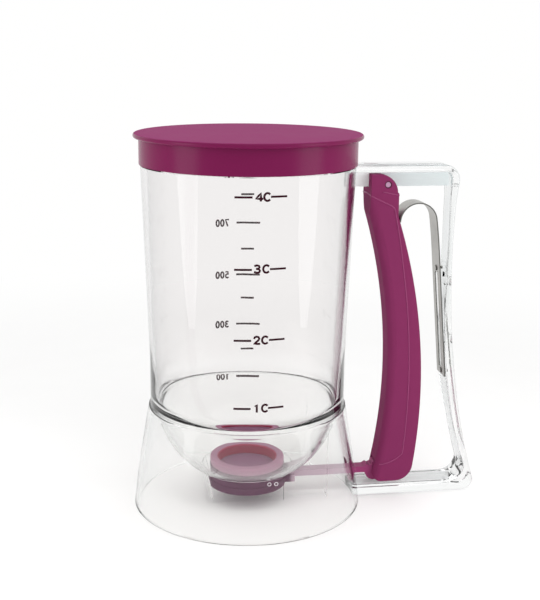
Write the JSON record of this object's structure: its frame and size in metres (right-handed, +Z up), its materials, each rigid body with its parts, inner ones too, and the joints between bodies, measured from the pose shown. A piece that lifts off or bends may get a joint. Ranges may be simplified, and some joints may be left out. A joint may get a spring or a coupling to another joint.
{
  "type": "batter dispenser",
  "caption": "Clear batter jug on a flared skirt with a press-on lid, a loop handle, a squeeze trigger and a sliding outlet valve.",
  "frame": {"origin": "centre of the ring under the skirt, on the table", "axes": "+Z up along the jug's axis, +X from the jug towards the handle, +Y away from the viewer"},
  "size_m": [0.1748, 0.114, 0.185],
  "materials": {
    "clear_plastic": "clear polished plastic",
    "purple_plastic": "satin moulded",
    "dark_purple_plastic": "satin moulded",
    "mauve_silicone": "soft matte",
    "spring_steel": "brushed strip"
  },
  "bodies": {
    "jug": {"container_wall": "clear_plastic", "hopper_bowl": "clear_plastic", "outlet_seal": "mauve_silicone", "base_skirt": "clear_plastic", "handle_frame": "clear_plastic", "pivot_pin": "spring_steel", "leaf_spring": "spring_steel", "spring_rivets": "spring_steel", "slide_keeper": "clear_plastic"},
    "lid": {"lid": "purple_plastic"},
    "trigger": {"trigger": "purple_plastic", "trigger_grip": "purple_plastic"},
    "valve": {"slide_valve": "dark_purple_plastic", "valve_plug": "mauve_silicone"}
  },
  "joints": [
    {"name": "trigger_hinge", "type": "hinge", "parent": "jug", "child": "trigger", "pos_m": [0.0669, 0, 0.16038], "axis": [0, -1, 0], "range_deg": [0, 6.7], "stiffness_Nm_per_rad": 1.5, "springref_deg": -2.86, "deforming": ["leaf_spring"]},
    {"name": "valve_slide", "type": "slide", "parent": "jug", "child": "valve", "axis": [1, 0, 0], "range_m": [0, 0.0172]},
    {"name": "lid_lift", "type": "slide", "parent": "jug", "child": "lid", "axis": [0, 0, 1], "range_m": [0, 0.04]}
  ],
  "couplings": [
    {"joint": "valve_slide", "follows": "trigger_hinge", "m_per_rad": 0.147}
  ]
}
